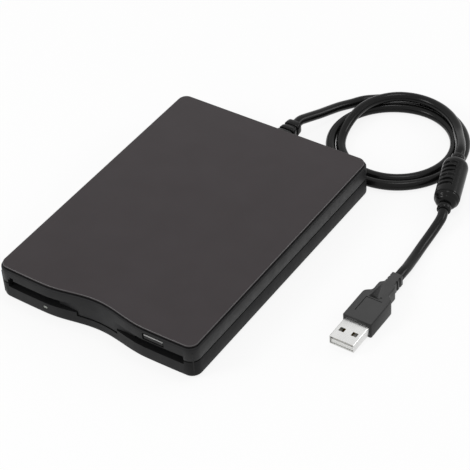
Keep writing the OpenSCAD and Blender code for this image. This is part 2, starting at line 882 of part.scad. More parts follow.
// The grip seen from above, from the shell to the cord: [half width, place].
grip_half = grip_w / 2;
grip_rows = [
  [grip_half - 0.5, grip_front], [grip_half, grip_front + 0.5], [grip_half, 3.6],
  [grip_half - 0.3, 4.7], [grip_half - 1.1, 5.6], [grip_half - 2.3, 6.5], [4.1, 7.6], [4, 9],
  [4, 12.2], [3.8, 13], [3.3, 13.7], [2.8, 14.4], [2.6, 15.6], [2.6, plug_end - 0.3],
  [2.3, plug_end]
];
function grip_thick(y) = grip_t - 0.7 * ease((y - 5) / 4) - 1.7 * ease((y - 12.6) / 4);

// The grip's rings from below to above: [side, drop from the face, inset].
grip_rings = [[-1, 0, 0.7], [-1, 0.25, 0.25], [-1, 0.7, 0], [1, 0.7, 0], [1, 0.25, 0.25], [1, 0, 0.7]];
grip_mid = (grip_front + plug_end) / 2;
function grip_point(row, ring, side) = [
  plug_x + side * (row[0] - ring[2]),
  row[1] - ring[2] * (row[1] - grip_mid) / (plug_end - grip_mid),
  plug_z + ring[0] * (grip_thick(row[1]) / 2 - ring[1])
];

frame_line = 0.3;

module plug_grip() {
  color(chip_black) difference() {
    skin([
      for (ring = grip_rings) concat(
        [for (row = grip_rows) grip_point(row, ring, 1)],
        [for (i = [len(grip_rows) - 1:-1:0]) grip_point(grip_rows[i], ring, -1)]
      )
    ], ladder = true);
    for (y = [16.4, 18.8]) for (side = [-1, 1])
      block([plug_x + side * 2.7 - 0.7, y, -1], [plug_x + side * 2.7 + 0.7, y + 1, 9]);
    block(
      [plug_x - shell_w / 2, grip_front - 1, plug_z - shell_t / 2],
      [plug_x + shell_w / 2, grip_front + 6, plug_z + shell_t / 2]
    );
    translate([plug_x, 0, plug_z + grip_t / 2 - frame_line]) {
      block([-3.9, -7.9, 0], [-3.9 + frame_line, 1.9, 1]);
      block([-3.9, 1.9 - frame_line, 0], [3.8, 1.9, 1]);
      for (x = [-1.7, 2.2]) post(x, 3.7, 0, 1, 0.4);
    }
  }
}

module plug_shell() {
  color("#d4d6d8") difference() {
    block(
      [plug_x - shell_w / 2, shell_tip, plug_z - shell_t / 2],
      [plug_x + shell_w / 2, grip_front + 6, plug_z + shell_t / 2]
    );
    block(
      [plug_x - shell_w / 2 + shell_wall, shell_tip - 1, plug_z - shell_t / 2 + shell_wall],
      [plug_x + shell_w / 2 - shell_wall, grip_front + 5.6, plug_z + shell_t / 2 - shell_wall]
    );
    for (side = [-1, 1])
      block(
        [plug_x + side * 3 - 1.3, shell_tip + 4.4, plug_z - shell_t],
        [plug_x + side * 3 + 1.3, shell_tip + 6.8, plug_z + shell_t]
      );
  }
}

module plug_tongue() {
  color("#e8e8e6") block(
    [plug_x - 5.6, shell_tip + 0.6, plug_z - 1.85],
    [plug_x + 5.6, grip_front + 5.6, plug_z + 0.05]
  );
}

module plug_contacts() {
  color(brass) for (x = [-3.5, -1, 1, 3.5])
    block([plug_x + x - 0.5, shell_tip + 1.6, plug_z + 0.05], [plug_x + x + 0.5, grip_front, plug_z + 0.2]);
}

// ---------------------------------------------------------------- the assembly

lower_shell();
upper_shell();
top_plate();
power_light();
rubber_feet();
case_screws();
strain_relief();
dust_door();
eject_button();
eject_slider();
disk_holder();
holder_pins();
chassis();
drive_cover();
spindle_board();
spindle_bearing();
stator_coils();
spindle_rotor();
spindle_hub();
head_carriage();
lower_head();
upper_arm();
upper_head();
guide_rod();
rod_clamps();
lead_screw();
screw_bracket();
stepper_motor();
controller_board();
controller_chips();
interface_board();
interface_chip();
ribbon_cable();
track_sensor();
disk_switches();
chassis_screws();
cord_loop();
ferrite_cover();
ferrite_core();
cord_tail();
plug_grip();
plug_shell();
plug_tongue();
plug_contacts();
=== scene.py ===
"""An external floppy disk drive dressed for its portrait: case, trim plate, cord, ferrite and plug.

Lengths are in millimetres until a mesh is made, and in metres after that.
"""

import json
import math

import bmesh
import bpy
from mathutils import Matrix, Vector


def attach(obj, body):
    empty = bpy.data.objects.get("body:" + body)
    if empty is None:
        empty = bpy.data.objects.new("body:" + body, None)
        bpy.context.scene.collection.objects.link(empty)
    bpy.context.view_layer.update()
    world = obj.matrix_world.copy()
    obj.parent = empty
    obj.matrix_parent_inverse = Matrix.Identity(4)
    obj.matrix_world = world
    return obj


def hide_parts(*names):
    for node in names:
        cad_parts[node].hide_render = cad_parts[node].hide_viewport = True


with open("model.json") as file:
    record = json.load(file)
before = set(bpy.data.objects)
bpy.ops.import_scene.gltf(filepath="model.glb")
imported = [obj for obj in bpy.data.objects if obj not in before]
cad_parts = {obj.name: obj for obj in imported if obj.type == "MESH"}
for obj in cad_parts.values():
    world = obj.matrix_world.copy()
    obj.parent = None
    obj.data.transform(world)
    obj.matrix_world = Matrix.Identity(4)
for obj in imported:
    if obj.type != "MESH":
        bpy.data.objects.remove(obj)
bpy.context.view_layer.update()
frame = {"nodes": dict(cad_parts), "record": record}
MM = 0.001

# ---------------------------------------------------------------- camera

AZIMUTH, ELEVATION, ROLL = 36.522, 41.223, -4.232
TARGET = Vector((15.02, 13.66, 0.0))
DISTANCE = 802.7
LENS, SENSOR = 136.41, 36
NEAR, FAR = 0.05, 20  # metres


def make_camera():
    """The photograph's view: a long lens from the front right, tilted a little."""
    a, e, r = (math.radians(v) for v in (AZIMUTH, ELEVATION, ROLL))
    back = Vector((math.sin(a) * math.cos(e), -math.cos(a) * math.cos(e), math.sin(e)))
    right = Vector((0, 0, 1)).cross(back).normalized()
    up = back.cross(right)
    x_axis = right * math.cos(r) + up * math.sin(r)
    y_axis = up * math.cos(r) - right * math.sin(r)
    turn = Matrix((x_axis, y_axis, back)).transposed().to_4x4()
    camera = bpy.data.objects.new("Camera", bpy.data.cameras.new("Camera"))
    bpy.context.scene.collection.objects.link(camera)
    camera.matrix_world = Matrix.Translation((TARGET + back * DISTANCE) * MM) @ turn
    camera.data.lens = LENS
    camera.data.sensor_width = SENSOR
    camera.data.clip_start, camera.data.clip_end = NEAR, FAR
    bpy.context.scene.camera = camera


make_camera()

# ---------------------------------------------------------------- mesh helpers

SHARP = 35  # degrees: edges sharper than this stay crisp
PAST = 1  # how far a cut runs past what it cuts


def ease(t):
    """A smooth step from 0 to 1."""
    c = max(0.0, min(1.0, t))
    return c * c * (3 - 2 * c)


def mesh_object(name, points, faces, sharp=SHARP):
    """A new object from points in millimetres."""
    mesh = bpy.data.meshes.new(name)
    mesh.from_pydata([tuple(c * MM for c in p) for p in points], [], faces)
    mesh.validate()
    obj = bpy.data.objects.new(name, mesh)
    bpy.context.scene.collection.objects.link(obj)
    tidy_normals(obj, sharp)
    return obj


def tidy_normals(obj, sharp=SHARP):
    """Outward normals, and smooth shading that stops at sharp edges."""
    bm = bmesh.new()
    bm.from_mesh(obj.data)
    bmesh.ops.recalc_face_normals(bm, faces=bm.faces)
    for face in bm.faces:
        face.smooth = True
    bm.to_mesh(obj.data)
    bm.free()
    obj.data.set_sharp_from_angle(angle=math.radians(sharp))


def loft(name, rings, sharp=SHARP):
    """A closed body through rings with equal numbers of points, flat at both ends."""
    n = len(rings[0])
    points = [p for ring in rings for p in ring]
    faces = [tuple(range(n))[::-1], tuple((len(rings) - 1) * n + i for i in range(n))]
    for k in range(len(rings) - 1):
        for i in range(n):
            a, b = k * n + i, k * n + (i + 1) % n
            faces.append((a, b, b + n, a + n))
    return mesh_object(name, points, faces, sharp)


def prism(name, ring, low, high):
    """An upright body from its outline seen from above."""
    return loft(name, [[(x, y, z) for x, y in ring] for z in (low, high)])


def block(name, low, high):
    """A plain box between two corners."""
    (x0, y0, z0), (x1, y1, z1) = low, high
    return prism(name, [(x0, y0), (x1, y0), (x1, y1), (x0, y1)], z0, z1)


def around(x, z, w, h, y0, y1, gap=0):
    """The corners of a box from y0 to y1 whose sides lie round (x, z), grown by a gap."""
    return (x - w / 2 - gap, y0, z - h / 2 - gap), (x + w / 2 + gap, y1, z + h / 2 + gap)


def across(axis, place, a, b):
    """A point at a place on one axis, with a and b on the other two."""
    point = [a, b]
    point.insert(axis, place)
    return tuple(point)


def rounded_box(name, low, high, r, axis=1, steps=5, bevel=0.0):
    """A box whose four edges along one axis are rounded, and whose ends may be bevelled."""
    u, v = [i for i in range(3) if i != axis]
    corners = (
        (high[u] - r, high[v] - r, 0),
        (low[u] + r, high[v] - r, 90),
        (low[u] + r, low[v] + r, 180),
        (high[u] - r, low[v] + r, 270),
    )
    first, last = low[axis], high[axis]
    ends = [(first, bevel), (first + bevel, 0), (last - bevel, 0), (last, bevel)]
    rings = []
    for place, inset in ends if bevel else ends[1:3]:
        ring = []
        for cu, cv, start in corners:
            for i in range(steps + 1):
                a = math.radians(start + 90 * i / steps)
                du, dv = (r - inset) * math.cos(a), (r - inset) * math.sin(a)
                ring.append(across(axis, place, cu + du, cv + dv))
        rings.append(ring)
    return loft(name, rings)


def rod(name, axis, start, end, centre, r, turns=48):
    """A cylinder along an axis, used as a tool for cuts and joins."""
    cu, cv = centre
    angles = [2 * math.pi * i / turns for i in range(turns)]
    circle = [(cu + r * math.cos(a), cv + r * math.sin(a)) for a in angles]
    return loft(name, [[across(axis, place, u, v) for u, v in circle] for place in (start, end)])


def revolve(name, profile, place, turns=64):
    """A body turned about Z from rows of radius and height that start and end on the axis."""
    points = [place @ Vector((0, 0, profile[0][1]))]
    for r, z in profile[1:-1]:
        for i in range(turns):
            a = 2 * math.pi * i / turns
            points.append(place @ Vector((r * math.cos(a), r * math.sin(a), z)))
    points.append(place @ Vector((0, 0, profile[-1][1])))
    rows = len(profile) - 2
    faces = []
    for i in range(turns):
        j = (i + 1) % turns
        faces.append((0, 1 + j, 1 + i))
        faces.append((len(points) - 1, 1 + (rows - 1) * turns + i, 1 + (rows - 1) * turns + j))
        for k in range(rows - 1):
            a, b = 1 + k * turns + i, 1 + k * turns + j
            faces.append((a, b, b + turns, a + turns))
    return mesh_object(name, points, faces)


def apply_modifiers(obj):
    evaluated = obj.evaluated_get(bpy.context.evaluated_depsgraph_get())
    mesh = bpy.data.meshes.new_from_object(evaluated)
    obj.modifiers.clear()
    obj.data = mesh


def combine(obj, tools, operation, sharp=SHARP):
    """Joins tools to obj, or cuts them from it, and removes them."""
    for tool in tools:
        modifier = obj.modifiers.new("combine", "BOOLEAN")
        modifier.operation, modifier.solver, modifier.object = operation, "EXACT", tool
        apply_modifiers(obj)
        bpy.data.objects.remove(tool)
    tidy_normals(obj, sharp)
    return obj


def mirrored(make):
    """Both of a pair: make is called with side 1 and with side -1."""
    return [make(1), make(-1)]


# ---------------------------------------------------------------- cord

CORD_D = 4.7
STRAIGHT = 4.2  # the straight stretch of cord at each end of the ferrite and at the plug
FERRITE_MID = Vector((85.8, 85.5, 7.8))
FERRITE_HEADING, FERRITE_TILT, FERRITE_LEN = -73.0, 8.2, 34.0
PLUG_X, PLUG_Z, PLUG_END = 94.5, 4.1, 22.0

heading, tilt = math.radians(FERRITE_HEADING), math.radians(FERRITE_TILT)
ferrite_dir = Vector(
    (math.cos(heading) * math.cos(tilt), math.sin(heading) * math.cos(tilt), -math.sin(tilt))
)
ferrite_in = FERRITE_MID - ferrite_dir * FERRITE_LEN / 2
ferrite_out = FERRITE_MID + ferrite_dir * FERRITE_LEN / 2

# The coil: its middle, then rows of turned angle and radius, and the climb onto the first turn.
COIL_MID = (46.6, 105.2)
COIL_START, COIL_STEP, COIL_TURNED = 135, 15, 810
COIL_ROWS = [
    (0, 35.4), (60, 31.9), (285, 31.6), (390, 27.1), (640, 26.8), (675, 26.3), (740, 29.8),
    (810, 28.6), (840, 29),
]
CLIMB_FROM, CLIMB_OVER, STACK_GAP = 640, 65, 0.1
FLOOR_LAY = CORD_D / 2
TOP_LAY = FLOOR_LAY + CORD_D + STACK_GAP

# From the strain relief to the coil, from the coil to the ferrite, and from there to the plug.
ENTRY_POINTS = [
    (2.2, 85.4, 9.1), (2.2, 89.6, 9.1), (3.2, 93.5, 8.3), (4.5, 98, 7.2), (5.9, 103, 6.0),
    (7.5, 108.8, 4.8), (9.4, 114.5, 3.7), (12.3, 120.5, 2.6), (16, 126, 2.1),
]
EXIT_POINTS = [(70.6, 120.6, 7.3), (73.6, 116.2, 8.3), (76.6, 111.5, 9.6)]
TAIL_POINTS = [
    (92.1, 60.2, 3.6), (92.2, 54, 2.7), (92.5, 47, 2.2), (93.1, 40, 2.4), (93.8, 33.8, 3),
    (94.3, 29.8, 3.6),
]


def radius_at(turned):
    for (a, r), (b, s) in zip(COIL_ROWS, COIL_ROWS[1:]):
        if turned <= b:
            return r + (s - r) * ease((turned - a) / (b - a))
    return COIL_ROWS[-1][1]


def coil_point(turned):
    r, a = radius_at(turned), math.radians(COIL_START - turned)
    climb = ease((turned - CLIMB_FROM) / CLIMB_OVER)
    x, y = COIL_MID[0] + r * math.cos(a), COIL_MID[1] + r * math.sin(a)
    return Vector((x, y, FLOOR_LAY + (TOP_LAY - FLOOR_LAY) * climb))


def on_table(points):
    """The points, with none so low that the cord would dip into the table."""
    return [Vector((x, y, max(z, FLOOR_LAY))) for x, y, z in points]


def smooth_route(route, parts=4):
    """The route with more points on one smooth line through its own points."""
    ends = [route[0] * 2 - route[1]] + list(route) + [route[-1] * 2 - route[-2]]
    line = []
    for p0, p1, p2, p3 in zip(ends, ends[1:], ends[2:], ends[3:]):
        for i in range(parts):
            t = i / parts
            line.append(
                0.5
                * (
                    2 * p1
                    + (p2 - p0) * t
                    + (2 * p0 - 5 * p1 + 4 * p2 - p3) * t * t
                    + (3 * p1 - p0 - 3 * p2 + p3) * t**3
                )
            )
    return line + [route[-1]]


def tube(name, line, d, sides=20):
    """A round cord along a line, with its upright kept steady."""
    angles = [2 * math.pi * k / sides for k in range(sides)]
    rings = []
    for i, p in enumerate(line):
        t = (line[min(i + 1, len(line) - 1)] - line[max(i - 1, 0)]).normalized()
        s = Vector((0, 0, 1)).cross(t).normalized()
        u = t.cross(s)
        rings.append([p + (s * math.cos(a) + u * math.sin(a)) * d / 2 for a in angles])
    return loft(name, rings)


loop_line = smooth_route(
    on_table(ENTRY_POINTS)
    + [coil_point(a) for a in range(0, COIL_TURNED + 1, COIL_STEP)]
    + [Vector(p) for p in EXIT_POINTS]
    + [ferrite_in - ferrite_dir * STRAIGHT, ferrite_in]
)
tail_line = smooth_route(
    [ferrite_out, ferrite_out + ferrite_dir * STRAIGHT]
    + on_table(TAIL_POINTS)
    + [Vector((PLUG_X, PLUG_END + STRAIGHT, PLUG_Z)), Vector((PLUG_X, PLUG_END, PLUG_Z))]
)
cord_loop = tube("Cord_loop", loop_line, CORD_D)
cord_tail = tube("Cord_tail", tail_line, CORD_D)

# ---------------------------------------------------------------- case

BODY_W, BODY_D, BODY_H = 104.0, 142.0, 18.0
HALF_W, HALF_D = BODY_W / 2, BODY_D / 2
CORNER_R = 5.0
CASE_LOW, CASE_LOW_R = 0.4, 1.6
FLOOR_Z = 2.0
SEAM_Z = 9.4
PLATE_T, PLATE_INSET, PLATE_R = 1.4, 0.9, 0.32
SHELL_HIGH, SHELL_HIGH_R = BODY_H - PLATE_T, 0.7
ROOF_Z = SHELL_HIGH - 1.4
DIP_TOP, DIP_BOTTOM, DIP_REACH = 3.6, 3.1, 27.0
CROWN = 0.5
FRONT_STEPS, CORNER_STEPS = 140, 14
SHELL_SHARP = 28

# The groove along the seam, as height off the seam and inset.
SEAM_ROWS = [(0, 0.55), (0.28, 0.5), (0.31, 0.06), (0.4, 0)]
# The channel under the plate's edge, as height off the upper shell and inset.
CHANNEL_ROWS = [
    (0, PLATE_INSET + 1.1), (0.5, PLATE_INSET + 1.1), (0.56, PLATE_INSET + 0.12),
    (0.66, PLATE_INSET),
]

AHEAD = -HALF_D - PAST  # in front of the case, where the cuts through its front start
SLOT_W, SLOT_LOW, SLOT_HIGH, SLOT_R = 93.0, 7.4, 11.8, 0.35
NOTCH_W, NOTCH_LOW, NOTCH_R = 21.6, 5.3, 0.5
BUTTON_X, BUTTON_W, BUTTON_LOW, BUTTON_HIGH = 31.5, 10.0, 12.4, 14.6
BUTTON_GAP_SIDE, BUTTON_GAP_LOW, BUTTON_HOLE_R = 0.4, 0.3, 0.3
# The back and the top of the button's bore, and of the taller recess at its mouth.
BUTTON_BORE, BUTTON_RECESS = (-65.9, BUTTON_HIGH + 0.4), (-69.0, 15.6)
LIGHT_X, LIGHT_Z, LIGHT_W, LIGHT_H, LIGHT_GAP = -26.5, 4.7, 2.4, 1.4, 0.05
LIGHT_BACK, LIGHT_HOLE_BACK = -67.6, -66
SMALL_NOTCH_X, SMALL_NOTCH_BACK, SMALL_NOTCH_TOP = (-45.3, -43.3), -68, 13.2
SHELF_BACK = -66.7
LEDGE_X, LEDGE_INSET, LEDGE_STEPS, LEDGE_LOW, LEDGE_HIGH = 48.5, 0.5, 48, 5, 12.8
LEDGE_SPARE = 0.2  # what the slot's cut takes off each ledge
CHEEK_IN, CHEEK_OUT, CHEEK_FRONT, CHEEK_BACK, CHEEK_TOP = SLOT_W / 2, 50.6, -69.5, -63, 14.2
DOOR_Y, DOOR_Z = -65.7, 12.3
PIN_BORE_R, PIN_BORE_END = 0.65, 48.6
BOSSES, BOSS_R, BORE_R = [(48.7, -64.4), (45, 64.5)], 2, 1.0
COUNTERBORE_R, COUNTERBORE_T = 1.85, 1
FEET, FOOT_HOLE_R, FOOT_HOLE_T = [(40, -56), (40, 54)], 4.55, 0.5
RELIEF_X, RELIEF_Z, NECK_W, NECK_H, NECK_GAP = 2.2, 9.1, 8.4, 7.0, 0.1
RELIEF_HOLE_DEEP, RELIEF_HOLE_R = 3, 0.8
OVERLAP = 0.01  # keeps the faces of joined bodies off each other


def dip_at(z):
    """The depth of the front's recess at a height."""
    return DIP_BOTTOM + (DIP_TOP - DIP_BOTTOM) * z / BODY_H


def front_y(x, inset, dip):
    a = abs(x)
    if a < DIP_REACH:
        return -HALF_D + inset + dip / 2 * (1 + math.cos(math.pi * a / DIP_REACH))
    return -HALF_D + inset + CROWN * ((a - DIP_REACH) / (HALF_W - DIP_REACH)) ** 2


def arc(cx, cy, r, start, steps=CORNER_STEPS):
    angles = [math.radians(start + 90 * i / steps) for i in range(1, steps + 1)]
    return [(cx + r * math.cos(a), cy + r * math.sin(a)) for a in angles]


def outline(inset, dip):
    """The case seen from above, drawn in by inset."""
    r, cx, cy = CORNER_R - inset, HALF_W - CORNER_R, HALF_D - CORNER_R
    fy = front_y(cx, 0, dip) + CORNER_R
    front = []
    for i in range(FRONT_STEPS + 1):
        x = cx * (2 * i / FRONT_STEPS - 1)
        front.append((x, front_y(x, inset, dip)))
    ring = front + arc(cx, fy, r, -90) + [(cx + r, cy)] + arc(cx, cy, r, 0)
    ring += [(-cx, cy + r)] + arc(-cx, cy, r, 90) + [(-cx - r, fy)]
    return ring + arc(-cx, fy, r, 180)[:-1]


def skin(name, layers):
    """A closed body with the case's outline, from layers of height and inset."""
    rings = [[(x, y, z) for x, y in outline(inset, dip_at(z))] for z, inset in layers]
    return loft(name, rings, SHELL_SHARP)


def quarter(z, inset, r, rising, steps=6):
    """Layers of a rounded edge that starts at height z when rising, and ends there when not."""
    rows = []
    for i in range(steps + 1):
        a = math.pi / 2 * i / steps
        if rising:
            rows.append((z + r * (1 - math.cos(a)), inset + r * (1 - math.sin(a))))
        else:
            rows.append((z - r * (1 - math.sin(a)), inset + r * (1 - math.cos(a))))
    return rows


# Half of the cavity's front wall: the end of its middle stretch and the end of its slope.
CAVITY_MID, CAVITY_SIDE = (14.0, -66.6), (27.0, -69.1)
WALL, CAVITY_STEPS = 1.8, 6


def cavity(low, high):
    """The space inside the case, with a slanted stretch beside the recess."""
    r, cx, cy = CORNER_R - WALL, HALF_W - CORNER_R, HALF_D - CORNER_R
    (mid_x, mid_y), (side_x, side_y) = CAVITY_MID, CAVITY_SIDE
    fy, n = side_y + r, CAVITY_STEPS
    ring = [
        (-side_x, side_y), (-mid_x, mid_y), CAVITY_MID, CAVITY_SIDE,
        (cx, fy - r), *arc(cx, fy, r, -90, n), (cx + r, cy), *arc(cx, cy, r, 0, n),
        (-cx, cy + r), *arc(-cx, cy, r, 90, n), (-cx - r, fy), *arc(-cx, fy, r, 180, n)[:-1],
    ]
    return prism("cavity", ring, low, high)


def front_ledge(low, high):
    """A ledge behind the front wall that follows its recess."""
    dip = dip_at(high)
    places = [LEDGE_X * i / LEDGE_STEPS for i in range(-LEDGE_STEPS, LEDGE_STEPS + 1)]
    line = [(x, front_y(x, LEDGE_INSET, dip)) for x in places]
    return prism("ledge", line + [(LEDGE_X, SHELF_BACK), (-LEDGE_X, SHELF_BACK)], low, high)


def cheeks(low, high):
    """The blocks at the slot's two ends, which hold the door's pins."""

    def cheek(side):
        left, right = sorted((side * CHEEK_IN, side * CHEEK_OUT))
        return block("cheek", (left, CHEEK_FRONT, low), (right, CHEEK_BACK, high))

    return mirrored(cheek)


def pin_bores():
    def bore(side):
        start, end = sorted((side * (CHEEK_IN - PAST), side * PIN_BORE_END))
        return rod("pin_bore", 0, start, end, (DOOR_Y, DOOR_Z), PIN_BORE_R)

    return mirrored(bore)


def uprights(name, place, low, high, r):
    """Two upright rods, one on each side."""
    x, y = place
    return mirrored(lambda side: rod(name, 2, low, high, (side * x, y), r))


def slot_and_relief():
    """The cuts that both shells share: the disk slot and the strain relief's hole."""
    low, high = (-CHEEK_IN, AHEAD, SLOT_LOW), (CHEEK_IN, SHELF_BACK + 0.1, SLOT_HIGH)
    front, back = HALF_D - RELIEF_HOLE_DEEP, HALF_D + PAST
    hole = around(RELIEF_X, RELIEF_Z, NECK_W, NECK_H, front, back, NECK_GAP)
    return [rounded_box("slot", low, high, SLOT_R), rounded_box("relief", *hole, RELIEF_HOLE_R)]


def make_lower_shell():
    groove = [(SEAM_Z - up, inset) for up, inset in reversed(SEAM_ROWS)]
    shell = skin("Lower_shell", quarter(CASE_LOW, 0, CASE_LOW_R, True) + groove)
    combine(shell, [cavity(FLOOR_Z, SEAM_Z + PAST)], "DIFFERENCE")

    joins = [front_ledge(LEDGE_LOW, SLOT_LOW + LEDGE_SPARE)]
    joins += cheeks(FLOOR_Z - OVERLAP, SEAM_Z - OVERLAP)
    for place in BOSSES:
        joins += uprights("boss", place, FLOOR_Z - OVERLAP, SEAM_Z - 0.1, BOSS_R)
    combine(shell, joins, "UNION")

    cuts = slot_and_relief()
    low, high = (-NOTCH_W / 2, AHEAD, NOTCH_LOW), (NOTCH_W / 2, SHELF_BACK + PAST, SLOT_HIGH)
    cuts.append(rounded_box("notch", low, high, NOTCH_R))
    hole = around(LIGHT_X, LIGHT_Z, LIGHT_W, LIGHT_H, AHEAD, LIGHT_HOLE_BACK, LIGHT_GAP)
    cuts.append(rounded_box("light", *hole, LIGHT_H / 2 + LIGHT_GAP, steps=10))
    for place in BOSSES:
        cuts += uprights("bore", place, 0, SEAM_Z + 0.5, BORE_R)
        cuts += uprights("counterbore", place, 0, CASE_LOW + COUNTERBORE_T, COUNTERBORE_R)
    for place in FEET:
        cuts += uprights("foot", place, 0, CASE_LOW + FOOT_HOLE_T, FOOT_HOLE_R)
    return combine(shell, cuts, "DIFFERENCE")


def make_upper_shell():
    groove = [(SEAM_Z + up, inset) for up, inset in SEAM_ROWS]
    shell = skin("Upper_shell", groove + quarter(SHELL_HIGH, 0, SHELL_HIGH_R, False))
    combine(shell, [cavity(SEAM_Z - PAST, ROOF_Z)], "DIFFERENCE")

    joins = [front_ledge(SLOT_HIGH - LEDGE_SPARE, LEDGE_HIGH)]
    joins += cheeks(SEAM_Z + OVERLAP, CHEEK_TOP)
    combine(shell, joins, "UNION")

    cuts = slot_and_relief()
    left, right = SMALL_NOTCH_X
    low, high = (left, AHEAD, SLOT_HIGH - PAST), (right, SMALL_NOTCH_BACK, SMALL_NOTCH_TOP)
    cuts.append(block("small_notch", low, high))
    side = BUTTON_W / 2 + BUTTON_GAP_SIDE
    low = (BUTTON_X - side, AHEAD, BUTTON_LOW - BUTTON_GAP_LOW)
    for back, top in (BUTTON_BORE, BUTTON_RECESS):
        cuts.append(rounded_box("button", low, (BUTTON_X + side, back, top), BUTTON_HOLE_R))
    cuts += pin_bores()
    return combine(shell, cuts, "DIFFERENCE")


lower_shell = make_lower_shell()
upper_shell = make_upper_shell()
top_plate = skin(
    "Top_plate",
    [(SHELL_HIGH + up, inset) for up, inset in CHANNEL_ROWS]
    + quarter(BODY_H, PLATE_INSET, PLATE_R, False),
)

# ---------------------------------------------------------------- front pieces

DOOR_HALF, DOOR_LOW, DOOR_T, DOOR_R = SLOT_W / 2 - 0.3, 5.6, 1.1, 0.2
PAD_T, PAD_TOP, PAD_R, PAD_BEVEL = 0.95, 11.6, 0.3, 0.2
# Half the width and the lower edge of the raised panel, and of its tab that hangs in the notch.
PANEL_HALF, PANEL_LOW = DOOR_HALF - 0.3, SLOT_LOW + 0.4
TAB_HALF, TAB_LOW = NOTCH_W / 2 - 0.4, NOTCH_LOW + 0.6
# The panel's middle: how far it reaches, where it is nearest to the front, and how far behind it.
SWELL_REACH, SWELL_NEAR, SWELL_BEHIND, SWELL_FALL, SWELL_STEPS = 20.0, 8, 0.45, 1.6, 24
SWELL_LOW, SWELL_TOP, SWELL_SUNK, SWELL_T = SLOT_LOW + 0.6, SLOT_HIGH - 0.1, 0.02, 0.6
RIB_T, RIB_H = 0.35, 0.9
BARREL_R, PIN_R, PIN_END = 0.7, 0.6, 48.2


def door_swell(reach, low):
    """The middle of the door's panel, which swells towards the recess of the front."""
    face = DOOR_Y - DOOR_T / 2 - PAD_T
    front = []
    for i in range(-SWELL_STEPS, SWELL_STEPS + 1):
        x = reach * i / SWELL_STEPS
        fall = SWELL_FALL * ease((abs(x) - SWELL_NEAR) / (SWELL_REACH - SWELL_NEAR))
        y = front_y(x, 0, DIP_BOTTOM) + (SWELL_BEHIND + fall)
        front.append((x, min(y, face + SWELL_SUNK)))
    ring = front + [(reach, face + SWELL_T), (-reach, face + SWELL_T)]
    return prism("swell", ring, low, SWELL_TOP)


def make_dust_door():
    face, back = DOOR_Y - DOOR_T / 2, DOOR_Y + DOOR_T / 2
    low, high = (-DOOR_HALF, face, DOOR_LOW), (DOOR_HALF, back, DOOR_Z)
    door = rounded_box("Dust_door", low, high, DOOR_R, axis=0)
    joins = []
    for half, bottom in ((PANEL_HALF, PANEL_LOW), (TAB_HALF, TAB_LOW)):
        corners = (-half, face - PAD_T, bottom), (half, face + 0.1, PAD_TOP)
        joins.append(rounded_box("pad", *corners, PAD_R, bevel=PAD_BEVEL))
    joins += [door_swell(SWELL_REACH, SWELL_LOW), door_swell(TAB_HALF, TAB_LOW)]
    low, high = (-DOOR_HALF, DOOR_Y - 0.2, DOOR_LOW), (DOOR_HALF, back + RIB_T, DOOR_LOW + RIB_H)
    joins.append(rounded_box("rib", low, high, DOOR_R, axis=0))
    joins.append(rod("barrel", 0, -DOOR_HALF, DOOR_HALF, (DOOR_Y, DOOR_Z), BARREL_R))
    joins.append(rod("pins", 0, -PIN_END, PIN_END, (DOOR_Y, DOOR_Z), PIN_R))
    return combine(door, joins, "UNION")


BUTTON_INSET, BUTTON_BACK, BUTTON_R, BUTTON_BEVEL = 0.25, -67, 0.4, 0.28
LIGHT_BEVEL = 0.3
STEM_HALF, STEM_LOW, STEM_HIGH = 3, 13.05, 14.35


def make_button():
    front, side = front_y(BUTTON_X, BUTTON_INSET, DIP_TOP), BUTTON_W / 2
    low, high = (BUTTON_X - side, front, BUTTON_LOW), (BUTTON_X + side, BUTTON_BACK, BUTTON_HIGH)
    button = rounded_box("Eject_button", low, high, BUTTON_R, bevel=BUTTON_BEVEL)
    low = (BUTTON_X - STEM_HALF, BUTTON_BACK - 0.3, STEM_LOW)
    high = (BUTTON_X + STEM_HALF, BUTTON_BACK + 0.8, STEM_HIGH)
    return combine(button, [block("stem", low, high)], "UNION")


def make_light():
    corners = around(LIGHT_X, LIGHT_Z, LIGHT_W, LIGHT_H, -HALF_D, LIGHT_BACK)
    return rounded_box("Power_light", *corners, LIGHT_H / 2, steps=12, bevel=LIGHT_BEVEL)


dust_door = make_dust_door()
eject_button = make_button()
power_light = make_light()

# ---------------------------------------------------------------- cord fittings

RELIEF_POWER, RELIEF_TURNS, FITTING_SHARP = 4.2, 56, 40
# The strain relief's stations along Y: place, width, height.
RELIEF_ROWS = [
    (67.6, 11.4, 8.6), (69.1, 11.4, 8.6), (69.15, 8.4, 7), (71.05, 8.4, 7), (71.05, 9.2, 7.6),
    (71.3, 9.7, 8.1), (71.8, 9.8, 8.2), (75.8, 8.9, 7.65), (76.3, 8.7, 7.5), (76.5, 8.2, 7.1),
    (76.55, 6.8, 5.8), (77.6, 6.8, 5.8), (77.7, 8, 6.9), (78, 8.4, 7.3), (79.7, 8.1, 7.1),
    (80.1, 7.8, 6.8), (80.2, 6.6, 5.7), (81.7, 6.6, 5.7), (81.8, 7.4, 6.4), (82.2, 7.8, 6.8),
    (84.8, 7.4, 6.5), (85.2, 7, 6.2), (85.4, 6.2, 5.4),
]


def superellipse(y, w, h):
    """A rounded rectangle across Y on the strain relief's axis."""
    ring = []
    for i in range(RELIEF_TURNS):
        a = 2 * math.pi * i / RELIEF_TURNS
        c, s = math.cos(a), math.sin(a)
        x = RELIEF_X + w / 2 * math.copysign(abs(c) ** (2 / RELIEF_POWER), c)
        z = RELIEF_Z + h / 2 * math.copysign(abs(s) ** (2 / RELIEF_POWER), s)
        ring.append((x, y, z))
    return ring


strain_relief = loft("Strain_relief", [superellipse(*row) for row in RELIEF_ROWS], FITTING_SHARP)

ferrite_place = (
    Matrix.Translation(FERRITE_MID)
    @ Matrix.Rotation(heading, 4, "Z")
    @ Matrix.Rotation(math.radians(90) + tilt, 4, "Y")
)
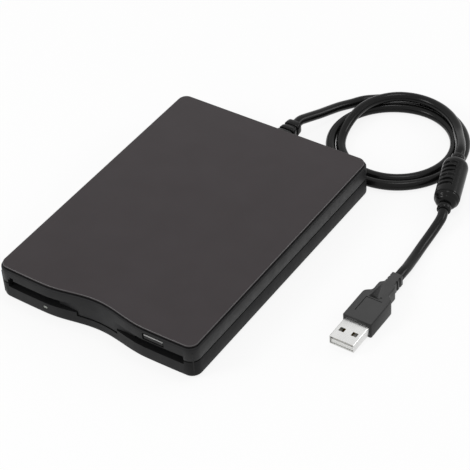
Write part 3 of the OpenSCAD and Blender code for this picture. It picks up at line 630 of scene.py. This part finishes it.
# The ferrite cover's outline from the drive's side to the plug's: distance, radius.
FERRITE_ROWS = [
    (-17, 2.15), (-16.95, 2.9), (-16.6, 3.2), (-14.6, 3.2), (-14.2, 3.05), (-14, 2.8),
    (-13.5, 2.8), (-13.3, 3.6), (-13, 4.1), (-12.4, 4.9), (-11.6, 5.5), (-10.6, 5.85),
    (-9.6, 6), (8.6, 6), (9, 5.95), (9.2, 5.6), (9.8, 5.55), (10, 5.85), (10.6, 5.7),
    (11.2, 5.3), (11.5, 4.9), (12, 4.85), (12.2, 4.75), (12.8, 4.2), (13.2, 3.7),
    (13.4, 2.85), (14, 2.8), (14.3, 3.1), (14.6, 3.2), (16.6, 3.2), (16.95, 2.9), (17, 2.15),
]
# The finger grooves: along the ferrite, then round it in degrees from the top.
FINGER_FIRST, FINGER_PITCH, FINGER_COUNT = -8.0, 2.6, 6
FINGER_HALF, FINGER_SLOPE, FINGER_DEPTH = 0.85, 0.35, 0.75
FINGER_ANGLE, FINGER_SPREAD, FINGER_FADE = 21, 38, 5
# More stations along the ferrite, where its grooves are.
FERRITE_FINE = [round(-9.2 + 0.15 * i, 3) for i in range(118)]
FERRITE_TURNS, FERRITE_SHARP = 120, 50


def ferrite_radius(s):
    for (a, p), (b, q) in zip(FERRITE_ROWS, FERRITE_ROWS[1:]):
        if s <= b:
            return p + (q - p) * (s - a) / (b - a)
    return FERRITE_ROWS[-1][1]


def finger_depth(s, angle):
    """How deep the finger grooves are at a place along the ferrite and an angle from its top."""
    window = ease((FINGER_SPREAD - abs(angle - FINGER_ANGLE)) / FINGER_FADE)
    for i in range(FINGER_COUNT):
        away = abs(s - FINGER_FIRST - FINGER_PITCH * i)
        if away < FINGER_HALF:
            return FINGER_DEPTH * window * ease((FINGER_HALF - away) / FINGER_SLOPE)
    return 0.0


def make_ferrite_cover():
    rings = []
    for s in sorted({s for s, _ in FERRITE_ROWS} | set(FERRITE_FINE)):
        ring = []
        for i in range(FERRITE_TURNS):
            angle = 360 * i / FERRITE_TURNS
            from_top = (angle + 180) % 360 - 180
            r = ferrite_radius(s) - finger_depth(s, from_top)
            a = math.radians(angle + 180)
            ring.append(tuple(ferrite_place @ Vector((r * math.cos(a), r * math.sin(a), s))))
        rings.append(ring)
    return loft("Ferrite_cover", rings, FERRITE_SHARP)


ferrite_cover = make_ferrite_cover()

# ---------------------------------------------------------------- plug

GRIP_FRONT, SHELL_TIP = -12.6, -25.0
SHELL_ROOT, SHELL_FLOOR = GRIP_FRONT + 6, GRIP_FRONT + 5.6
SHELL_W, SHELL_T, SHELL_WALL, SHELL_R = 12.0, 4.5, 0.35, 0.55
# The grip seen from above: half width and place, from the shell to the cord.
GRIP_ROWS = [
    (6.5, -12.6), (6.8, -12.45), (7, -12.1), (7, 3.2), (6.96, 3.9), (6.82, 4.5), (6.5, 5.05),
    (6, 5.5), (5.4, 5.95), (4.8, 6.4), (4.35, 6.95), (4.1, 7.6), (4, 8.6), (4, 11.8), (3.96, 12.5),
    (3.8, 13.05), (3.45, 13.5), (3.05, 13.95), (2.75, 14.5), (2.6, 15.4), (2.6, 21.6), (2.5, 21.85),
    (2.2, 22),
]
EDGE_STEPS, EDGE_RISE, EDGE_INSET, END_INSET = 6, 0.16, 0.75, 0.8
GRIP_FACE = PLUG_Z + 4
MARK_DEPTH = MARK_W = 0.45
# The plain frame line on the grip's upper face: low and high corners off the plug's axis.
FRAME_LINES = [
    ((-3.9, -7.9), (-3.9 + MARK_W, 1.9)),
    ((-3.9, 1.9 - MARK_W), (3.8, 1.9)),
]
DIMPLES_X, DIMPLES_Y, DIMPLE_R = (-1.7, 2.2), 3.7, 0.5
# The notches in the sides of the grip's neck, which let it bend.
BEND_Y, BEND_X, BEND_HALF, BEND_LEN, BEND_TOP, BEND_R = (16.4, 18.8), 2.7, 0.7, 1, 8.2, 0.3
WINDOW_X, WINDOW_HALF, WINDOW_FROM, WINDOW_TO, WINDOW_R = 3, 1.3, 4.4, 6.8, 0.15
TONGUE_HALF, TONGUE_BEHIND, TONGUE_LOW, TONGUE_TOP = 5.6, 0.6, -1.85, 0.05
TONGUE_R, TONGUE_BEVEL = 0.2, 0.15


def grip_thick(y):
    return 8.0 - 0.7 * ease((y - 5) / 4) - 1.7 * ease((y - 12.6) / 4)


def drawn_in(y, inset):
    """A place on the grip's outline, moved off the end that it lies at."""
    if y < GRIP_FRONT + 1:
        return y + inset * END_INSET
    if y > PLUG_END - 1:
        return y - inset * END_INSET
    return y


def make_plug_grip():
    levels = []
    for i in range(EDGE_STEPS + 1):
        a = math.pi / 2 * i / EDGE_STEPS
        levels.append((-1 + EDGE_RISE * (1 - math.cos(a)), EDGE_INSET * (1 - math.sin(a))))
    levels += [(-level, inset) for level, inset in reversed(levels)]
    rings = []
    for level, inset in levels:
        rows = [(w - inset, drawn_in(y, inset), grip_thick(y)) for w, y in GRIP_ROWS]
        ring = [(PLUG_X + w, y, PLUG_Z + t / 2 * level) for w, y, t in rows]
        ring += [(PLUG_X - w, y, PLUG_Z + t / 2 * level) for w, y, t in reversed(rows)]
        rings.append(ring)
    grip = loft("Plug_grip", rings, FITTING_SHARP)

    def bend_notch(side, y):
        x = PLUG_X + side * BEND_X
        low, high = (x - BEND_HALF, y, 0), (x + BEND_HALF, y + BEND_LEN, BEND_TOP)
        return rounded_box("bend_notch", low, high, BEND_R, axis=2)

    cuts = []
    for y in BEND_Y:
        cuts += mirrored(lambda side: bend_notch(side, y))
    bottom, top = GRIP_FACE - MARK_DEPTH, GRIP_FACE + PAST
    for (x0, y0), (x1, y1) in FRAME_LINES:
        cuts.append(block("frame_line", (PLUG_X + x0, y0, bottom), (PLUG_X + x1, y1, top)))
    for x in DIMPLES_X:
        cuts.append(rod("dimple", 2, bottom, top, (PLUG_X + x, DIMPLES_Y), DIMPLE_R))
    socket = around(PLUG_X, PLUG_Z, SHELL_W, SHELL_T, GRIP_FRONT - PAST, SHELL_ROOT)
    cuts.append(block("socket", *socket))
    return combine(grip, cuts, "DIFFERENCE", FITTING_SHARP)


def make_plug_shell():
    outer = around(PLUG_X, PLUG_Z, SHELL_W, SHELL_T, SHELL_TIP, SHELL_ROOT)
    start = SHELL_TIP - PAST
    inner = around(PLUG_X, PLUG_Z, SHELL_W, SHELL_T, start, SHELL_FLOOR, -SHELL_WALL)
    shell = rounded_box("Plug_shell", *outer, SHELL_R)
    cuts = [rounded_box("inside", *inner, 0.25)]
    for side in (-1, 1):
        x = PLUG_X + side * WINDOW_X
        low = (x - WINDOW_HALF, SHELL_TIP + WINDOW_FROM, PLUG_Z - SHELL_T)
        high = (x + WINDOW_HALF, SHELL_TIP + WINDOW_TO, PLUG_Z + SHELL_T)
        cuts.append(rounded_box("window", low, high, WINDOW_R, axis=2))
    return combine(shell, cuts, "DIFFERENCE")


def make_plug_tongue():
    low = (PLUG_X - TONGUE_HALF, SHELL_TIP + TONGUE_BEHIND, PLUG_Z + TONGUE_LOW)
    high = (PLUG_X + TONGUE_HALF, SHELL_FLOOR, PLUG_Z + TONGUE_TOP)
    return rounded_box("Plug_tongue", low, high, TONGUE_R, bevel=TONGUE_BEVEL)


plug_grip = make_plug_grip()
plug_shell = make_plug_shell()
plug_tongue = make_plug_tongue()

# ---------------------------------------------------------------- feet

# Half of a foot's outline: radius, height.
FOOT_ROWS = [(0, 0), (3.9, 0), (4.2, 0.05), (4.42, 0.2), (4.5, 0.45), (4.5, 0.9), (0, 0.9)]


def make_feet():
    feet = None
    for fx, fy in FEET:
        for side in (-1, 1):
            foot = revolve("Rubber_feet", FOOT_ROWS, Matrix.Translation((side * fx, fy, 0)))
            feet = combine(feet, [foot], "UNION") if feet else foot
    return feet


rubber_feet = make_feet()

# ---------------------------------------------------------------- materials

CLOUD_SCALE, GLOSS_SCALE, METAL_CLOUD_SCALE = 60, 220, 90


class Shader:
    """A material's nodes, made by short calls."""

    def __init__(self, name, **values):
        self.material = bpy.data.materials.new(name)
        self.material.use_nodes = True
        self.tree = self.material.node_tree
        self.bsdf = self.tree.nodes["Principled BSDF"]
        self.surface(**values)

    def node(self, kind, **values):
        node = self.tree.nodes.new(kind)
        for key, value in values.items():
            setattr(node, key, value)
        return node

    def link(self, out, into):
        self.tree.links.new(out, into)

    def feed(self, value, into):
        """Links a socket, or sets a colour or a number."""
        if isinstance(value, bpy.types.NodeSocket):
            self.link(value, into)
        else:
            into.default_value = (*value, 1) if isinstance(value, tuple) else value

    def surface(self, **values):
        """Feeds the surface's own inputs, named with underscores."""
        for key, value in values.items():
            self.feed(value, self.bsdf.inputs[key.replace("_", " ")])

    def noise(self, scale, detail=4.0, stretch=(1, 1, 1)):
        """Noise from 0 to 1 that stays with its piece. The scale is per metre."""
        place = self.node("ShaderNodeTexCoord")
        mapping = self.node("ShaderNodeMapping")
        mapping.inputs["Scale"].default_value = stretch
        noise = self.node("ShaderNodeTexNoise")
        noise.inputs["Scale"].default_value = scale
        noise.inputs["Detail"].default_value = detail
        self.link(place.outputs["Object"], mapping.inputs["Vector"])
        self.link(mapping.outputs["Vector"], noise.inputs["Vector"])
        return noise.outputs["Fac"]

    def ramp(self, value, low, high, a, b):
        """value from low..high turned into a..b, as numbers or as colours."""
        if isinstance(a, (int, float)):
            node = self.node("ShaderNodeMapRange")
            for key, number in zip(("From Min", "From Max", "To Min", "To Max"), (low, high, a, b)):
                node.inputs[key].default_value = number
            self.link(value, node.inputs["Value"])
            return node.outputs["Result"]
        node = self.node("ShaderNodeValToRGB")
        first, last = node.color_ramp.elements
        first.position, last.position = low, high
        first.color, last.color = (*a, 1), (*b, 1)
        self.link(value, node.inputs["Fac"])
        return node.outputs["Color"]

    def clouds(self, dark, light):
        """Two tones of a colour in soft patches about 15 mm wide."""
        return self.ramp(self.noise(CLOUD_SCALE, 3), 0.3, 0.7, dark, light)

    def blend(self, factor, a, b):
        """Colour a where the factor is 0, and colour b where it is 1."""
        node = self.node("ShaderNodeMix", data_type="RGBA")
        self.link(factor, node.inputs["Factor"])
        self.feed(a, node.inputs["A"])
        self.feed(b, node.inputs["B"])
        return node.outputs["Result"]

    def upward(self):
        """How far the surface faces up: 1 on top and 0 on the walls."""
        axes = self.node("ShaderNodeSeparateXYZ")
        self.link(self.node("ShaderNodeNewGeometry").outputs["Normal"], axes.inputs["Vector"])
        return axes.outputs["Z"]

    def bump(self, height, distance, after=None):
        """Relief that deep in millimetres, laid over another one if that is given."""
        node = self.node("ShaderNodeBump")
        node.inputs["Distance"].default_value = distance * MM
        node.inputs["Strength"].default_value = 1.0
        self.link(height, node.inputs["Height"])
        if after:
            self.link(after, node.inputs["Normal"])
        return node.outputs["Normal"]


def plastic(name, dark, light, rough, grain, grain_depth, specular):
    """Moulded plastic or rubber: fine grain, faint clouding and a changing gloss."""
    s = Shader(name, Specular_IOR_Level=specular)
    cloud, fine = s.noise(CLOUD_SCALE, 3), s.noise(grain, 2)
    s.surface(
        Base_Color=s.ramp(cloud, 0.3, 0.7, dark, light),
        Roughness=s.ramp(s.noise(GLOSS_SCALE), 0.25, 0.75, *rough),
        Normal=s.bump(fine, grain_depth, after=s.bump(cloud, 0.01)),
    )
    return s.material


def with_painted_rim_highlight(name, dark, light, painted_highlight_colour, rough=0.48, specular=0.2):
    """Satin plastic or paint whose rounded upper edges are glossier and carry a painted highlight:
    a lighter colour that stands in for the bright line of light they catch.
    """
    s = Shader(name)
    up = s.upward()
    band = s.node("ShaderNodeMath", operation="MULTIPLY")
    s.link(s.ramp(up, 0.15, 0.4, 0.0, 1.0), band.inputs[0])
    s.link(s.ramp(up, 0.6, 0.93, 1.0, 0.0), band.inputs[1])
    # The rounded upper edges: painted highlight in their colour, and real extra gloss in their
    # roughness and specular.
    rim = band.outputs["Value"]
    s.surface(
        Base_Color=s.blend(rim, s.clouds(dark, light), painted_highlight_colour),
        Roughness=s.ramp(rim, 0.0, 1.0, rough, 0.2),
        Specular_IOR_Level=s.ramp(rim, 0.0, 1.0, specular, 0.6),
        Normal=s.bump(s.noise(4200, 2), 0.006),
    )
    return s.material


def painted_top_light_side_shade(name, side, dark, light):
    """Moulded plastic with painted light and shade: faces turned straight up take the lighter
    clouded colour, and sides and rounded edges the darker side colour.
    """
    s = Shader(name, Roughness=0.42, Specular_IOR_Level=0.22)
    s.surface(
        # Painted shade: the side colour replaces the surface's colour wherever it faces away from
        # straight up.
        Base_Color=s.blend(s.ramp(s.upward(), 0.82, 0.98, 0.0, 1.0), side, s.clouds(dark, light)),
        Normal=s.bump(s.noise(3200, 3), 0.015),
    )
    return s.material


def metal(name, dark, light, rough, stretch=(1, 1, 1), grain=900, depth=0.004):
    """Sheet or turned metal: fine directional marks and a slightly uneven gloss."""
    s = Shader(name, Metallic=1.0)
    marks, cloud = s.noise(grain, 5, stretch), s.noise(METAL_CLOUD_SCALE, 3)
    s.surface(
        Base_Color=s.ramp(cloud, 0.3, 0.7, dark, light),
        Roughness=s.ramp(marks, 0.3, 0.7, *rough),
        Normal=s.bump(marks, depth),
    )
    return s.material


CASE_DARK, CASE_LIGHT = (0.010, 0.010, 0.0105), (0.014, 0.014, 0.0145)
CASE_GRAIN = 3600, 0.02

MATERIALS = {
    "case_plastic": plastic(
        "Case_plastic", CASE_DARK, CASE_LIGHT, (0.42, 0.54), *CASE_GRAIN, 0.15
    ),
    # Plate paint; its last colour is a painted highlight along the plate's rounded upper edges.
    "plate_finish": with_painted_rim_highlight(
        "Plate_finish", (0.034, 0.0285, 0.030), (0.038, 0.032, 0.034), (0.10, 0.096, 0.098)
    ),
    "light_plastic": plastic(
        "Light_plastic", (0.20, 0.21, 0.19), (0.26, 0.27, 0.24), (0.3, 0.4), 2400, 0.004, 0.5
    ),
    "foot_rubber": plastic(
        "Foot_rubber", (0.010, 0.010, 0.010), (0.016, 0.016, 0.016), (0.7, 0.85), 2600, 0.03, 0.2
    ),
    "cord_rubber": plastic(
        "Cord_rubber", (0.004, 0.004, 0.004), (0.006, 0.006, 0.006), (0.18, 0.24),
        2600, 0.006, 0.16,
    ),
    # The first colour is painted shade on the grip's sides and rounded edges; the other two are its
    # lighter top.
    "plug_plastic": painted_top_light_side_shade(
        "Plug_plastic", (0.016, 0.016, 0.016), (0.043, 0.043, 0.043), (0.054, 0.054, 0.054)
    ),
    "sheet_steel": metal(
        "Sheet_steel", (0.52, 0.53, 0.54), (0.60, 0.61, 0.62), (0.30, 0.42), (1, 6, 1)
    ),
    "bright_steel": metal(
        "Bright_steel", (0.62, 0.63, 0.64), (0.70, 0.71, 0.72), (0.18, 0.28)
    ),
    "cast_alloy": metal(
        "Cast_alloy", (0.48, 0.49, 0.50), (0.58, 0.59, 0.60), (0.42, 0.58), depth=0.02
    ),
    "plug_metal": metal(
        "Plug_metal", (0.64, 0.64, 0.63), (0.74, 0.74, 0.73), (0.24, 0.36), (1, 5, 1), 1400
    ),
    "circuit_board": plastic(
        "Circuit_board", (0.012, 0.075, 0.035), (0.018, 0.10, 0.045), (0.3, 0.42),
        1500, 0.01, 0.5,
    ),
    "chip_plastic": plastic(
        "Chip_plastic", (0.014, 0.014, 0.015), (0.02, 0.02, 0.021), (0.5, 0.62), 3000, 0.015, 0.4
    ),
    "coil_copper": metal(
        "Coil_copper", (0.55, 0.22, 0.09), (0.68, 0.30, 0.13), (0.28, 0.4), (1, 1, 9), 1600, 0.02
    ),
    "bearing_brass": metal(
        "Bearing_brass", (0.62, 0.46, 0.18), (0.72, 0.55, 0.24), (0.22, 0.32)
    ),
    "head_ceramic": plastic(
        "Head_ceramic", (0.09, 0.07, 0.055), (0.12, 0.095, 0.075), (0.2, 0.3), 2000, 0.004, 0.5
    ),
    "ferrite": plastic(
        "Ferrite", (0.035, 0.035, 0.037), (0.05, 0.05, 0.052), (0.5, 0.65), 1800, 0.03, 0.4
    ),
    "tongue_plastic": plastic(
        "Tongue_plastic", (0.72, 0.72, 0.70), (0.80, 0.80, 0.78), (0.4, 0.5), 2400, 0.006, 0.4
    ),
    "flat_cable": plastic(
        "Flat_cable", (0.42, 0.38, 0.30), (0.50, 0.45, 0.36), (0.45, 0.55), 2200, 0.01, 0.4
    ),
}
# Pieces whose material differs from the rest of their slot by painted light: the lower shell is a
# darker copy of the case plastic, painted shade, and the button carries a painted highlight on its
# top edge.
PAINTED_LIGHT_LOOKS = {
    # Painted shade: the same plastic as the upper shell, made darker.
    "Lower_shell": plastic(
        "Case_low_painted_shade", (0.0080, 0.0080, 0.0084), (0.0112, 0.0112, 0.0116), (0.44, 0.56),
        *CASE_GRAIN, 0.13,
    ),
    # The button's rounded top edge carries a painted highlight in light grey over the case plastic.
    "Eject_button": with_painted_rim_highlight(
        "Button_plastic", CASE_DARK, CASE_LIGHT, (0.34, 0.34, 0.33), 0.4, 0.15
    ),
}

for row in frame["record"]["subparts"]:
    node = frame["nodes"][row["node"]]
    node.data.materials.clear()
    node.data.materials.append(MATERIALS[row["material_slot"]])

# ---------------------------------------------------------------- each piece on its body

# The piece, its body and its material. A piece replaces the node of its own name.
PIECES = [
    (lower_shell, "root", "case_plastic"),
    (upper_shell, "root", "case_plastic"),
    (top_plate, "root", "plate_finish"),
    (power_light, "root", "light_plastic"),
    (rubber_feet, "root", "foot_rubber"),
    (dust_door, "dust_door", "case_plastic"),
    (eject_button, "eject", "case_plastic"),
    (strain_relief, "root", "cord_rubber"),
    (cord_loop, "root", "cord_rubber"),
    (cord_tail, "root", "cord_rubber"),
    (ferrite_cover, "root", "cord_rubber"),
    (plug_grip, "root", "plug_plastic"),
    (plug_shell, "root", "plug_metal"),
    (plug_tongue, "root", "tongue_plastic"),
]
for piece, body, slot in PIECES:
    piece.data.materials.clear()
    piece.data.materials.append(PAINTED_LIGHT_LOOKS.get(piece.name, MATERIALS[slot]))
    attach(piece, body)
    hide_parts(piece.name.lower())


# ---------------------------------------------------------------- stage and light

FLOOR_HALF, FLOOR_LOW, FLOOR_TOP = 3000, -20, -0.02
FLOOR_GLOW = 0.86
ROOM_LIGHT = 0.62
# The lamps: name, place and aim in metres, width and height, power.
LAMPS = [
    ("Front", (-0.45, -0.63, 0.58), (0, 0, 0), (0.3, 0.3), 2.4),
    ("Right", (0.635, 0.605, 0.43), (0.02, 0.02, 0), (0.3, 0.3), 1.2),
    ("Top", (0.1, 0.15, 1.0), (0.02, 0.02, 0), (0.3, 0.3), 1.6),
]


def seen_directly(tree):
    """1 for rays from the camera, a gloss or glass, and 0 for the light that falls on things."""
    path = tree.nodes.new("ShaderNodeLightPath")
    total = path.outputs["Is Camera Ray"]
    for kind in ("Is Glossy Ray", "Is Transmission Ray"):
        add = tree.nodes.new("ShaderNodeMath")
        add.operation, add.use_clamp = "ADD", True
        tree.links.new(total, add.inputs[0])
        tree.links.new(path.outputs[kind], add.inputs[1])
        total = add.outputs["Value"]
    return total


def make_stage():
    """White paper that runs into the background and keeps a light shadow."""
    low, high = (-FLOOR_HALF, -FLOOR_HALF, FLOOR_LOW), (FLOOR_HALF, FLOOR_HALF, FLOOR_TOP)
    floor = block("Floor", low, high)
    s = Shader("Floor_paper", Specular_IOR_Level=0.0, Roughness=1.0)
    s.surface(
        Base_Color=s.ramp(s.noise(3, 2), 0.3, 0.7, (0.93, 0.93, 0.93), (0.95, 0.95, 0.95))
    )
    share = s.node("ShaderNodeMath", operation="MULTIPLY")
    share.inputs[1].default_value = FLOOR_GLOW
    s.link(seen_directly(s.tree), share.inputs[0])
    mix = s.node("ShaderNodeMixShader")
    s.link(share.outputs["Value"], mix.inputs["Fac"])
    s.link(s.bsdf.outputs["BSDF"], mix.inputs[1])
    s.link(s.node("ShaderNodeEmission").outputs["Emission"], mix.inputs[2])
    s.link(mix.outputs["Shader"], s.tree.nodes["Material Output"].inputs["Surface"])
    floor.data.materials.append(s.material)


def make_world():
    world = bpy.data.worlds.new("Studio")
    bpy.context.scene.world = world
    world.use_nodes = True
    tree = world.node_tree
    strength = tree.nodes.new("ShaderNodeMapRange")
    strength.inputs["To Min"].default_value = ROOM_LIGHT
    strength.inputs["To Max"].default_value = 1.0
    tree.links.new(seen_directly(tree), strength.inputs["Value"])
    back = tree.nodes["Background"]
    tree.links.new(strength.outputs["Result"], back.inputs["Strength"])
    back.inputs["Color"].default_value = (1, 1, 1, 1)


def area_light(name, place, aim, size, power):
    light = bpy.data.lights.new(name, "AREA")
    light.shape = "RECTANGLE"
    light.size, light.size_y = size
    light.energy = power
    lamp = bpy.data.objects.new(name, light)
    bpy.context.scene.collection.objects.link(lamp)
    lamp.location = place
    lamp.rotation_mode = "QUATERNION"
    lamp.rotation_quaternion = (Vector(aim) - Vector(place)).to_track_quat("-Z", "Y")


make_stage()
make_world()
for lamp in LAMPS:
    area_light(*lamp)
bpy.context.scene.view_settings.view_transform = "Standard"
